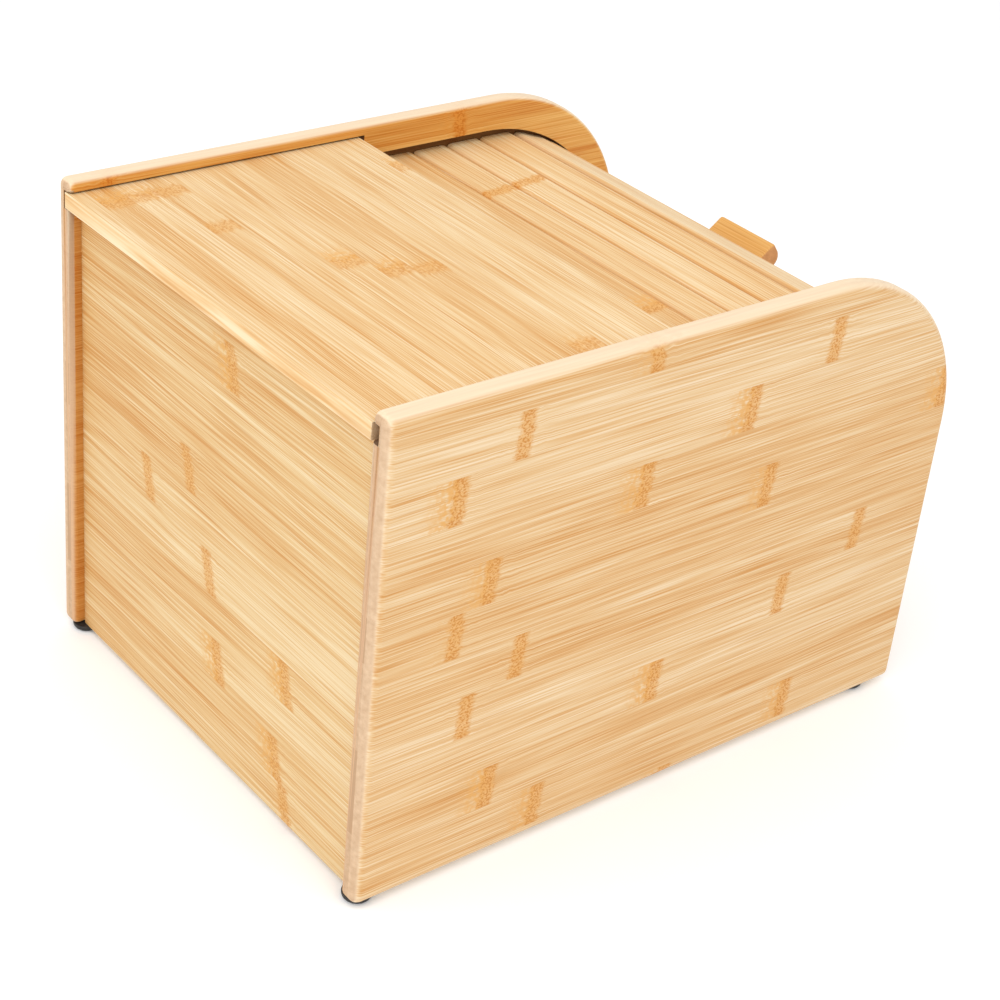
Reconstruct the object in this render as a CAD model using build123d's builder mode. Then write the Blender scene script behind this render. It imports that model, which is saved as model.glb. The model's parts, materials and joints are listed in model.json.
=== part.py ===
from build123d import *
from math import cos, radians, sin, tan
import os

# Bread box with a roll top: a bamboo carcass and a lid of slats that runs in grooves.
# Millimetres. +X to the right, +Y to the rear, +Z up. The origin is on the table,
# under the middle of the box.

# ---- carcass ----
box_width = 225.0
panel_depth = 290.0
panel_height = 208.0
panel_thickness = 10.0
front_corner_radius = 77.0
small_corner_radius = 3.0
outer_edge_rounding = 4.0
inner_edge_rounding = 2.5

# ---- boards between the side panels ----
top_board_thickness = 7.0
top_board_drop = 5.0            # board's upper face below the panels' top edges
top_board_depth = 138.0         # from the rear edge forwards
top_board_tongue = 4.0          # how far each end enters its side panel
top_board_relief = 9.0          # length of the missing tongue at one rear corner
board_groove_depth = 4.5
board_groove_gap = 0.7          # open gap over the board in its groove
board_groove_overrun = 1.5      # groove past the board's front edge
back_panel_thickness = 8.0
back_panel_recess = 5.0
bottom_board_thickness = 8.0
bottom_board_setback = 2.0
board_edge_rounding = 1.0

# ---- roll-top lid ----
slat_pitch = 18.2
slat_gap = 0.4
slat_thickness = 6.5
slat_rounding = 2.2
slat_end_in_groove = 4.0
slats_in_bend = 5               # slats in a quarter turn
lid_front_inset = 11.4          # slats' outer side behind the panels' front edge
lid_top_inset = 18.0            # slats' outer side below the panels' top edge
shortest_rail = 14.0
tail_cover = 18.0               # least length of the lid under the top board
seat_gap = 0.4                  # lead rail above the bottom board

# ---- lid grooves in the side panels ----
groove_depth = 4.5
groove_floor_gap = 0.35         # under the slats
groove_head_gap = 4.25          # over the slats on the flat
groove_outer_shift = 8.6        # outer bend centre behind the slats' bend centre
groove_outer_sink = 9.8         # outer bend centre below the slats' bend centre
groove_rear_gap = 1.0           # groove's rear end in front of the back panel

# ---- canvas backing ----
canvas_thickness = 0.5
canvas_side_margin = 4.0
canvas_end_gap = 0.3

# ---- knob ----
knob_length = 34.0
knob_width = 10.0
knob_height = 12.7
knob_front_rounding = 5.0
knob_edge_rounding = 1.5
knob_step = 3                   # slats down the bend from its upper end
screw_spacing = 18.0
screw_radius = 1.75
screw_length = 15.0
screw_head_radius = 3.25
screw_head_height = 1.6
screw_clearance = 0.1
pilot_clearance = 0.01

# ---- feet ----
foot_radius = 6.0
foot_height = 3.0
foot_rounding = 2.2
foot_side_inset = 8.5           # foot centre from the outer face
foot_rear_inset = 7.0
foot_front_inset = 17.0

# ---- dowels ----
dowel_radius = 2.5
dowel_length = 25.0
dowel_in_panel = 7.0
dowel_end_gap = 0.3
dowel_fit = 0.05
dowel_end_margin = 35.0         # outermost dowel from the end of its row
dowels_in_row = 3
dowel_cover = 3.0               # wood left behind a dowel in the back panel

# ---- derived places ----
panel_bottom = foot_height
panel_top = panel_bottom + panel_height
front_y = -panel_depth / 2
rear_y = panel_depth / 2
outer_x = box_width / 2
inner_x = outer_x - panel_thickness
board_top_z = panel_top - top_board_drop
board_under_z = board_top_z - top_board_thickness
board_front_y = rear_y - top_board_depth
back_outer_y = rear_y - back_panel_recess
back_inner_y = back_outer_y - back_panel_thickness
floor_z = panel_bottom + bottom_board_thickness
bottom_front_y = front_y + bottom_board_setback

step_angle = 90.0 / slats_in_bend
bend_radius = slat_pitch / 2 / tan(radians(step_angle / 2))
bend_y = front_y + lid_front_inset + slat_thickness + bend_radius
bend_z = panel_top - lid_top_inset - slat_thickness - bend_radius
slat_width = slat_pitch - slat_gap
slat_length = 2 * (inner_x + slat_end_in_groove)
lid_under_z = bend_z + bend_radius
lid_inner_y = bend_y - bend_radius
rail_bottom_z = floor_z + seat_gap
front_run = bend_z - slat_pitch / 2 - rail_bottom_z
front_slats = int((front_run - shortest_rail) / slat_pitch)
rail_height = front_run - front_slats * slat_pitch - slat_gap / 2
top_slats = int((board_front_y + tail_cover - bend_y) / slat_pitch) + 1

groove_top_z = lid_under_z + slat_thickness + groove_head_gap
groove_outer_z = bend_z - groove_outer_sink
groove_outer_radius = groove_top_z - groove_outer_z
groove_outer_y = bend_y + groove_outer_shift - groove_outer_radius
groove_rear_y = back_inner_y - groove_rear_gap
canvas_half_width = inner_x - canvas_side_margin

os.makedirs("parts", exist_ok=True)


def keep(part, name):
    """Label one finished piece and write it to its own file."""
    part.label = name
    export_step(part, "parts/" + name + ".step")


def dowel_row(first, last):
    """Evenly spaced places of one row of dowels between two ends."""
    start = first + dowel_end_margin
    pitch = (last - first - 2 * dowel_end_margin) / (dowels_in_row - 1)
    return [start + pitch * i for i in range(dowels_in_row)]


def lid_plane(angle):
    """Plane on the slats' inner side at an angle down the bend, facing outwards."""
    a = radians(angle)
    middle = (0, bend_y - bend_radius * sin(a), bend_z + bend_radius * cos(a))
    return Plane(origin=middle, x_dir=(1, 0, 0), z_dir=(0, -sin(a), cos(a)))


def top_plane(y):
    """Plane on the slats' inner side on the flat run, facing up."""
    return Plane(origin=(0, y, lid_under_z), x_dir=(1, 0, 0), z_dir=(0, 0, 1))


def front_plane(z):
    """Plane on the slats' inner side on the front run, facing forwards."""
    return Plane(origin=(0, lid_inner_y, z), x_dir=(1, 0, 0), z_dir=(0, -1, 0))


def rounded_run(panel, side):
    """Top edge, corner arc and front edge on one face of a panel, by its place along X."""
    lines = panel.edges().filter_by(GeomType.LINE)
    top = lines.filter_by(Axis.Y).group_by(Axis.Z)[-1].sort_by(Axis.X)[side]
    front = lines.filter_by(Axis.Z).group_by(Axis.Y)[0].sort_by(Axis.X)[side]
    arcs = panel.edges().filter_by(GeomType.CIRCLE)
    corner_arcs = arcs.filter_by(lambda e: abs(e.radius - front_corner_radius) < 0.01)
    return [top, corner_arcs.sort_by(Axis.X)[side], front]


bottom_dowel_y = dowel_row(bottom_front_y, back_inner_y)
bottom_dowel_z = panel_bottom + bottom_board_thickness / 2
back_dowel_y = back_outer_y - back_panel_thickness / 2
back_dowel_z = dowel_row(floor_z, board_under_z)
joint_dowel_x = dowel_row(-inner_x, inner_x)
dowel_hole_radius = dowel_radius + dowel_fit
panel_hole_depth = dowel_in_panel + dowel_end_gap
board_hole_depth = dowel_length - dowel_in_panel + dowel_end_gap
joint_in_back = back_panel_thickness - dowel_cover
joint_depth_in_back = joint_in_back + dowel_end_gap
joint_depth_in_bottom = dowel_length - joint_in_back + dowel_end_gap

# ---- side panels ----
inner_face = Plane(origin=(-inner_x, 0, 0), x_dir=(0, 1, 0), z_dir=(1, 0, 0))

with BuildPart() as side_panel_left:
    with BuildSketch(Plane.YZ.offset(-outer_x)) as outline:
        with BuildLine():
            bottom_edge = Line((rear_y, panel_bottom), (front_y, panel_bottom))
            front_edge = Line(bottom_edge @ 1, (front_y, panel_top - front_corner_radius))
            corner_end = (front_y + front_corner_radius, panel_top)
            corner = TangentArc(front_edge @ 1, corner_end, tangent=(0, 1))
            top_edge = Line(corner @ 1, (rear_y, panel_top))
            Line(top_edge @ 1, bottom_edge @ 0)
        make_face()
        square_corners = [(rear_y, panel_bottom), (front_y, panel_bottom), (rear_y, panel_top)]
        for y, z in square_corners:
            fillet(outline.vertices().sort_by_distance((y, z, 0))[0], small_corner_radius)
    extrude(amount=panel_thickness)
    fillet(rounded_run(side_panel_left, 0), outer_edge_rounding)
    fillet(rounded_run(side_panel_left, -1), inner_edge_rounding)
    with BuildSketch(inner_face):
        with BuildLine():
            lower_rear = (groove_rear_y, lid_under_z - groove_floor_gap)
            floor_line = Line(lower_rear, (bend_y, lid_under_z - groove_floor_gap))
            inner_front = (lid_inner_y + groove_floor_gap, bend_z)
            inner_bend = TangentArc(floor_line @ 1, inner_front, tangent=(-1, 0))
            inner_line = Line(inner_bend @ 1, (lid_inner_y + groove_floor_gap, floor_z))
            foot_line = Line(inner_line @ 1, (groove_outer_y, floor_z))
            outer_start = (groove_outer_y, groove_outer_z)
            outer_line = Line(foot_line @ 1, outer_start)
            outer_end = (groove_outer_y + groove_outer_radius, groove_top_z)
            outer_bend = TangentArc(outer_line @ 1, outer_end, tangent=(0, 1))
            head_line = Line(outer_bend @ 1, (groove_rear_y, groove_top_z))
            Line(head_line @ 1, floor_line @ 0)
        make_face()
    extrude(amount=-groove_depth, mode=Mode.SUBTRACT)
    with BuildSketch(inner_face):
        groove_front_y = board_front_y - board_groove_overrun
        groove_height = top_board_thickness + board_groove_gap
        groove_middle_y = (groove_front_y + rear_y) / 2
        with Locations((groove_middle_y, board_under_z + groove_height / 2)):
            Rectangle(rear_y - groove_front_y, groove_height)
    extrude(amount=-board_groove_depth, mode=Mode.SUBTRACT)
    with Locations(inner_face):
        with Locations([(y, bottom_dowel_z) for y in bottom_dowel_y]):
            Hole(dowel_hole_radius, depth=panel_hole_depth)
        with Locations([(back_dowel_y, z) for z in back_dowel_z]):
            Hole(dowel_hole_radius, depth=panel_hole_depth)

with BuildPart() as side_panel_right:
    mirror(side_panel_left.part, about=Plane.YZ)

keep(side_panel_left.part, "side_panel_left")
keep(side_panel_right.part, "side_panel_right")

# ---- bottom board, back panel and top board ----
with BuildPart() as bottom_board:
    bottom_middle_y = (bottom_front_y + back_inner_y) / 2
    with BuildSketch(Plane.XY.offset(panel_bottom)):
        with Locations((0, bottom_middle_y)):
            Rectangle(2 * inner_x, back_inner_y - bottom_front_y)
    extrude(amount=bottom_board_thickness)
    front_face = bottom_board.faces().sort_by(Axis.Y)[0]
    fillet(front_face.edges().filter_by(Axis.X), board_edge_rounding)
    for side in (-1, 1):
        end_plane = Plane(origin=(side * inner_x, 0, 0), x_dir=(0, side, 0), z_dir=(side, 0, 0))
        with Locations(end_plane):
            with Locations([(side * y, bottom_dowel_z) for y in bottom_dowel_y]):
                Hole(dowel_hole_radius, depth=board_hole_depth)
    back_joint = Plane(origin=(0, back_inner_y, 0), x_dir=(-1, 0, 0), z_dir=(0, 1, 0))
    with Locations(back_joint):
        with Locations([(x, bottom_dowel_z) for x in joint_dowel_x]):
            Hole(dowel_hole_radius, depth=joint_depth_in_bottom)

with BuildPart() as back_panel:
    with BuildSketch(Plane.XZ.offset(-back_inner_y)):
        with Locations((0, (panel_bottom + board_under_z) / 2)):
            Rectangle(2 * inner_x, board_under_z - panel_bottom)
    extrude(amount=-back_panel_thickness)
    for side in (-1, 1):
        end_plane = Plane(origin=(side * inner_x, 0, 0), x_dir=(0, side, 0), z_dir=(side, 0, 0))
        with Locations(end_plane):
            with Locations([(side * back_dowel_y, z) for z in back_dowel_z]):
                Hole(dowel_hole_radius, depth=board_hole_depth)
    back_face = Plane(origin=(0, back_inner_y, 0), x_dir=(1, 0, 0), z_dir=(0, -1, 0))
    with Locations(back_face):
        with Locations([(x, bottom_dowel_z) for x in joint_dowel_x]):
            Hole(dowel_hole_radius, depth=joint_depth_in_back)

with BuildPart() as top_board:
    with BuildSketch(Plane.XY.offset(board_under_z)):
        with Locations((0, (board_front_y + rear_y) / 2)):
            Rectangle(2 * (inner_x + top_board_tongue), top_board_depth)
        relief_middle = (-inner_x - top_board_tongue / 2, rear_y - top_board_relief / 2)
        with Locations(relief_middle):
            Rectangle(top_board_tongue, top_board_relief, mode=Mode.SUBTRACT)
    extrude(amount=top_board_thickness)
    upper_front = top_board.edges().filter_by(Axis.X).group_by(Axis.Y)[0]
    fillet(upper_front, board_edge_rounding)

keep(bottom_board.part, "bottom_board")
keep(back_panel.part, "back_panel")
keep(top_board.part, "top_board")

# ---- dowels ----
with BuildPart() as bottom_dowels_left:
    with BuildSketch(Plane.YZ.offset(-inner_x - dowel_in_panel)):
        with Locations([(y, bottom_dowel_z) for y in bottom_dowel_y]):
            Circle(dowel_radius)
    extrude(amount=dowel_length)

with BuildPart() as back_dowels_left:
    with BuildSketch(Plane.YZ.offset(-inner_x - dowel_in_panel)):
        with Locations([(back_dowel_y, z) for z in back_dowel_z]):
            Circle(dowel_radius)
    extrude(amount=dowel_length)

with BuildPart() as bottom_dowels_right:
    mirror(bottom_dowels_left.part, about=Plane.YZ)

with BuildPart() as back_dowels_right:
    mirror(back_dowels_left.part, about=Plane.YZ)

with BuildPart() as back_joint_dowels:
    with BuildSketch(Plane.XZ.offset(-back_inner_y - joint_in_back)):
        with Locations([(x, bottom_dowel_z) for x in joint_dowel_x]):
            Circle(dowel_radius)
    extrude(amount=dowel_length)

keep(bottom_dowels_left.part, "bottom_dowels_left")
keep(bottom_dowels_right.part, "bottom_dowels_right")
keep(back_dowels_left.part, "back_dowels_left")
keep(back_dowels_right.part, "back_dowels_right")
keep(back_joint_dowels.part, "back_joint_dowels")

# ---- feet ----
foot_x = outer_x - foot_side_inset
foot_places = {
    "foot_front_left": (-foot_x, front_y + foot_front_inset),
    "foot_front_right": (foot_x, front_y + foot_front_inset),
    "foot_rear_left": (-foot_x, rear_y - foot_rear_inset),
    "foot_rear_right": (foot_x, rear_y - foot_rear_inset),
}
for foot_name, place in foot_places.items():
    with BuildPart() as foot:
        with BuildSketch(Plane.XY):
            with Locations(place):
                Circle(foot_radius)
        extrude(amount=foot_height)
        fillet(foot.edges().group_by(Axis.Z)[0], foot_rounding)
    keep(foot.part, foot_name)


def make_slat(plane, width, name):
    """Build one slat on a plane of its inner side, with eased outer long edges."""
    with BuildPart() as slat:
        with BuildSketch(plane):
            Rectangle(slat_length, width)
        extrude(amount=slat_thickness)
        outwards = Axis(plane.origin, plane.z_dir)
        outer_face = slat.faces().sort_by(outwards)[-1]
        fillet(outer_face.edges().filter_by(Axis.X), slat_rounding)
        if name == knob_slat_name:
            with Locations(plane):
                with Locations(screw_places):
                    Hole(screw_radius + screw_clearance)
                    Cone(
                        screw_head_radius + screw_clearance,
                        screw_radius + screw_clearance,
                        screw_head_height,
                        align=(Align.CENTER, Align.CENTER, Align.MIN),
                        mode=Mode.SUBTRACT,
                    )
    keep(slat.part, name)


# ---- lid slats, numbered upwards from the lead rail and then rearwards ----
screw_places = [(-screw_spacing / 2, 0), (screw_spacing / 2, 0)]
knob_slat_number = front_slats + slats_in_bend - knob_step + 1
knob_slat_name = "slat_%02d" % knob_slat_number
knob_angle = step_angle * knob_step

rail_middle_z = rail_bottom_z + rail_height / 2
make_slat(front_plane(rail_middle_z), rail_height, "lead_rail")
for i in range(front_slats):
    slat_z = bend_z - slat_pitch * (front_slats - i)
    make_slat(front_plane(slat_z), slat_width, "slat_%02d" % (i + 1))
for i in range(slats_in_bend):
    slat_angle = 90.0 - step_angle * i
    make_slat(lid_plane(slat_angle), slat_width, "slat_%02d" % (front_slats + i + 1))
for i in range(top_slats):
    slat_number = front_slats + slats_in_bend + i + 1
    make_slat(top_plane(bend_y + slat_pitch * i), slat_width, "slat_%02d" % slat_number)

# ---- canvas backing, one strip for each run of slats ----
canvas_top_z = bend_z - slat_pitch / 2 - canvas_end_gap
with BuildPart() as canvas_front:
    with BuildSketch(Plane.XZ.offset(-lid_inner_y)):
        with Locations((0, (rail_bottom_z + canvas_top_z) / 2)):
            Rectangle(2 * canvas_half_width, canvas_top_z - rail_bottom_z)
    extrude(amount=-canvas_thickness)

canvas_front_y = bend_y - slat_pitch / 2 + canvas_end_gap
canvas_rear_y = bend_y + slat_pitch * (top_slats - 0.5) - slat_gap / 2
with BuildPart() as canvas_top:
    with BuildSketch(Plane.XY.offset(lid_under_z)):
        with Locations((0, (canvas_front_y + canvas_rear_y) / 2)):
            Rectangle(2 * canvas_half_width, canvas_rear_y - canvas_front_y)
    extrude(amount=-canvas_thickness)


def bend_points(radius):
    """Corner points of the slats' inner sides round the bend, at one radius."""
    half_step = radians(step_angle / 2)
    end_turn = canvas_end_gap / bend_radius
    turns = [half_step * (2 * i + 1) for i in range(slats_in_bend + 1)]
    turns[0] += end_turn
    turns[-1] -= end_turn
    points = []
    for i, turn in enumerate(turns):
        middle = half_step * 2 * min(max(i, 1), slats_in_bend)
        reach = radius / cos(turn - middle)
        points.append((bend_y - reach * sin(turn), bend_z + reach * cos(turn)))
    return points


with BuildPart() as canvas_bend:
    with BuildSketch(Plane.YZ.offset(-canvas_half_width)):
        with BuildLine():
            inner_points = bend_points(bend_radius - canvas_thickness)
            Polyline(*bend_points(bend_radius), *reversed(inner_points), close=True)
        make_face()
    extrude(amount=2 * canvas_half_width)

keep(canvas_front.part, "canvas_front")
keep(canvas_bend.part, "canvas_bend")
keep(canvas_top.part, "canvas_top")

# ---- knob and its screws ----
slat_plane = lid_plane(knob_angle)
knob_plane = slat_plane.offset(slat_thickness)
with BuildPart() as knob:
    with BuildSketch(knob_plane):
        Rectangle(knob_length, knob_width)
    extrude(amount=knob_height)
    knob_out = Axis(knob_plane.origin, knob_plane.z_dir)
    knob_back = Axis(knob_plane.origin, knob_plane.y_dir)
    knob_end = knob.faces().sort_by(knob_out)[-1]
    front_top_edge = knob_end.edges().filter_by(Axis.X).sort_by(knob_back)[0]
    fillet(front_top_edge, knob_front_rounding)
    knob_end = knob.faces().sort_by(knob_out)[-1]
    fillet(knob_end.edges().filter_by(Axis.X).sort_by(knob_back)[-1], knob_edge_rounding)
    with Locations(knob_plane):
        with Locations(screw_places):
            Cylinder(
                screw_radius + pilot_clearance,
                screw_length - slat_thickness + pilot_clearance,
                align=(Align.CENTER, Align.CENTER, Align.MIN),
                mode=Mode.SUBTRACT,
            )

with BuildPart() as knob_screws:
    with Locations(slat_plane):
        with Locations(screw_places):
            Cylinder(
                screw_radius,
                screw_length,
                align=(Align.CENTER, Align.CENTER, Align.MIN),
            )
            Cone(
                screw_head_radius,
                screw_radius,
                screw_head_height,
                align=(Align.CENTER, Align.CENTER, Align.MIN),
            )

keep(knob.part, "knob")
keep(knob_screws.part, "knob_screws")
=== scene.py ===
"""Bread box with a roll top: bamboo box, rolling lid of slats, canvas backing, knob and feet.

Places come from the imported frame, in metres: +X to the right, +Y to the rear, +Z up.
"""

import sys

import json
import logging
from dataclasses import dataclass, field
from enum import Enum
from math import cos, hypot, pi, radians, sin
from typing import Callable, Sequence, Union

import bmesh
import bpy
from mathutils import Matrix, Quaternion, Vector


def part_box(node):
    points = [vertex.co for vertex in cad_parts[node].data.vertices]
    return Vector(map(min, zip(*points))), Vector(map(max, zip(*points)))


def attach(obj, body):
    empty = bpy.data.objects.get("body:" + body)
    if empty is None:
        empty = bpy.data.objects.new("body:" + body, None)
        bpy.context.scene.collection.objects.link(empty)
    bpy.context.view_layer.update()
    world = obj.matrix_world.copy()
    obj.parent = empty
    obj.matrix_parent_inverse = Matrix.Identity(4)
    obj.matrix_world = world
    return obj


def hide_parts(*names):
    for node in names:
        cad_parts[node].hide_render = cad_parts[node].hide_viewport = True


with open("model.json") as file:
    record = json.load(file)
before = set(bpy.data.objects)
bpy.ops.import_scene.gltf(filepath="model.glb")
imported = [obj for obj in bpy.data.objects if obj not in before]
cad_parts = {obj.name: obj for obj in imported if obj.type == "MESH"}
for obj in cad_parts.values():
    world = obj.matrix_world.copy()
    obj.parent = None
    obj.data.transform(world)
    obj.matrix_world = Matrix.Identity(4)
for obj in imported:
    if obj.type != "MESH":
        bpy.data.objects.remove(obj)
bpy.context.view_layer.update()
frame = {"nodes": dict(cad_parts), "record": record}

log = logging.getLogger("bread_box")

Socket = bpy.types.NodeSocket
Feed = Union[float, Sequence[float], Socket]
Colour = tuple[float, float, float, float]
Levels = Sequence[tuple[float, float]]
Stops = Sequence[tuple[float, Colour]]
Strips = tuple[tuple[float, ...], ...]

MM = 0.001
SHARP = radians(35)


# ---------------------------------------------------------------- node trees


def tone(red: int, green: int, blue: int) -> Colour:
    """Give the linear colour of a paint-chart shade.

    Args:
        red: 0 to 255, as a paint chart prints it.
        green: the same for green.
        blue: the same for blue.

    Returns:
        The linear colour, with full cover.
    """
    shares = [value / 255 for value in (red, green, blue)]
    linear = [s / 12.92 if s <= 0.04045 else ((s + 0.055) / 1.055) ** 2.4 for s in shares]
    return (linear[0], linear[1], linear[2], 1.0)


class Graph:
    """Short calls for filling one node tree, of a finish or of geometry."""

    def __init__(self, tree: bpy.types.NodeTree) -> None:
        """Keep the tree that the nodes go into."""
        self.tree = tree

    def add(self, kind: str, feeds: dict | None = None, **settings: object) -> bpy.types.Node:
        """Add one node.

        Args:
            kind: the node's type.
            feeds: a value or socket for each input, by its name or number.
            settings: the node's own properties.

        Returns:
            The new node.
        """
        node = self.tree.nodes.new(kind)
        for setting, value in settings.items():
            setattr(node, setting, value)
        for key, value in (feeds or {}).items():
            self.feed(node.inputs[key], value)
        return node

    def feed(self, socket: Socket, value: Feed) -> None:
        """Set one input to a value, or link it to a socket."""
        if isinstance(value, Socket):
            self.tree.links.new(value, socket)
        else:
            socket.default_value = value

    def math(self, operation: str, *values: Feed) -> Socket:
        """Work out a number from others."""
        node = self.add("ShaderNodeMath", dict(enumerate(values)), operation=operation)
        return node.outputs[0]

    def times(self, value: Feed, factor: Feed) -> Socket:
        """Give value times factor."""
        return self.math("MULTIPLY", value, factor)

    def plus(self, value: Feed, more: Feed) -> Socket:
        """Give value plus more."""
        return self.math("ADD", value, more)

    def minus(self, value: Feed, less: Feed) -> Socket:
        """Give value minus less."""
        return self.math("SUBTRACT", value, less)

    def centred(self, share: Feed) -> Socket:
        """Move a share from round one half to round zero."""
        return self.minus(share, 0.5)

    def size(self, value: Feed) -> Socket:
        """Give value without its sign."""
        return self.math("ABSOLUTE", value)

    def times_plus(self, value: Feed, factor: Feed, more: Feed) -> Socket:
        """Give value times factor, plus more."""
        return self.math("MULTIPLY_ADD", value, factor, more)

    def vector(self, operation: str, *values: Feed) -> Socket:
        """Work out a vector from others."""
        node = self.add("ShaderNodeVectorMath", dict(enumerate(values)), operation=operation)
        return node.outputs[0]

    def scaled(self, value: Feed, factor: Feed) -> Socket:
        """Give a vector times a number."""
        node = self.add("ShaderNodeVectorMath", {0: value, "Scale": factor}, operation="SCALE")
        return node.outputs[0]

    def combine(self, x: Feed, y: Feed, z: Feed) -> Socket:
        """Make a vector of three numbers."""
        return self.add("ShaderNodeCombineXYZ", {0: x, 1: y, 2: z}).outputs[0]

    def split(self, value: Feed) -> tuple[Socket, Socket, Socket]:
        """Take a vector apart."""
        node = self.add("ShaderNodeSeparateXYZ", {0: value})
        return node.outputs[0], node.outputs[1], node.outputs[2]

    def step(self, value: Feed, low: float, high: float) -> Socket:
        """Rise smoothly from 0 at low to 1 at high."""
        feeds = {0: value, 1: low, 2: high}
        node = self.add("ShaderNodeMapRange", feeds, interpolation_type="SMOOTHSTEP")
        return node.outputs[0]

    def fade(self, value: Feed, low: float, high: float) -> Socket:
        """Fall smoothly from 1 at low to 0 at high."""
        return self.minus(1.0, self.step(value, low, high))

    def noise(self, place: Feed, scale: float, detail: float = 2.0) -> Socket:
        """Give smooth noise round one half."""
        feeds = {"Vector": place, "Scale": scale, "Detail": detail}
        return self.add("ShaderNodeTexNoise", feeds).outputs[0]

    def mix(self, share: Feed, under: Feed, over: Feed, blend: str = "MIX") -> Socket:
        """Lay one colour over another."""
        feeds = {0: share, 6: under, 7: over}
        node = self.add("ShaderNodeMix", feeds, data_type="RGBA", blend_type=blend)
        return node.outputs[2]

    def ramp(self, share: Feed, stops: Stops, stepped: bool = False) -> Socket:
        """Turn a share into a colour.

        Args:
            share: where to read, from 0 to 1.
            stops: places and their colours, in order.
            stepped: hold each colour up to the next stop.

        Returns:
            The colour's socket.
        """
        node = self.add("ShaderNodeValToRGB", {0: share})
        ramp = node.color_ramp
        ramp.interpolation = "CONSTANT" if stepped else "LINEAR"
        for element, (place, colour) in zip(ramp.elements, (stops[0], stops[-1])):
            element.position = place
            element.color = colour
        for place, colour in stops[1:-1]:
            ramp.elements.new(place).color = colour
        return node.outputs[0]

    def bump(self, height: Feed, strength: float, distance: float) -> Socket:
        """Turn a height into a normal."""
        feeds = {"Height": height, "Strength": strength, "Distance": distance}
        return self.add("ShaderNodeBump", feeds).outputs[0]


def new_finish(name: str) -> tuple[bpy.types.Material, Graph, bpy.types.Node]:
    """Start a material.

    Args:
        name: the finish's name.

    Returns:
        The material, its graph and its shader node.
    """
    material = bpy.data.materials.new(name)
    material.use_nodes = True
    return material, Graph(material.node_tree), material.node_tree.nodes["Principled BSDF"]


def surface(graph: Graph, shader: bpy.types.Node, colour: Feed, rough: Feed, normal: Feed) -> None:
    """Give a shader its colour, roughness and normal."""
    for label, value in (("Base Color", colour), ("Roughness", rough), ("Normal", normal)):
        graph.feed(shader.inputs[label], value)


def object_place(graph: Graph, per_metre: float) -> Socket:
    """Give the place on the piece, times a number."""
    return graph.scaled(graph.add("ShaderNodeTexCoord").outputs["Object"], per_metre)


# ---------------------------------------------------------------- finishes


class Axis(Enum):
    """A direction in which a board's grain, width or thickness runs."""

    X = 0
    Y = 1
    Z = 2


@dataclass(frozen=True)
class BambooTones:
    """The colours of one grade of bamboo."""

    pale: Colour = tone(241, 217, 178)
    light: Colour = tone(232, 200, 151)
    base: Colour = tone(226, 185, 129)
    deep: Colour = tone(211, 152, 84)
    vein: Colour = tone(204, 146, 78)
    glow: Colour = tone(228, 170, 92)
    node: Colour = tone(204, 134, 56)
    # Pale rim tone: partly the rounded rim cut across the strips, partly painted highlight.
    rim: Colour = tone(252, 231, 197)
    end_pale: Colour = tone(234, 202, 163)
    end_dark: Colour = tone(176, 134, 94)
    # Groove tone: raw wood inside the grooves and holes, darkened further as painted shade.
    groove: Colour = tone(98, 58, 28)

    def lit(self, factor: float, blue: float = 1.0) -> "BambooTones":
        """Give the same grade, lighter or darker by a factor, with more or less blue in it."""
        scaled = {}
        for shade_name, colour in vars(self).items():
            red, green, rest, cover = colour
            scaled[shade_name] = (red * factor, green * factor, rest * factor * blue, cover)
        return BambooTones(**scaled)


@dataclass(frozen=True)
class Spot:
    """Where on a board its finish is read: places in millimetres, and draws of the strip there."""

    along: Socket
    across: Socket
    through: Socket
    number: Socket
    share: Socket
    shade: Socket
    shift: Socket
    strength: Socket


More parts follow.
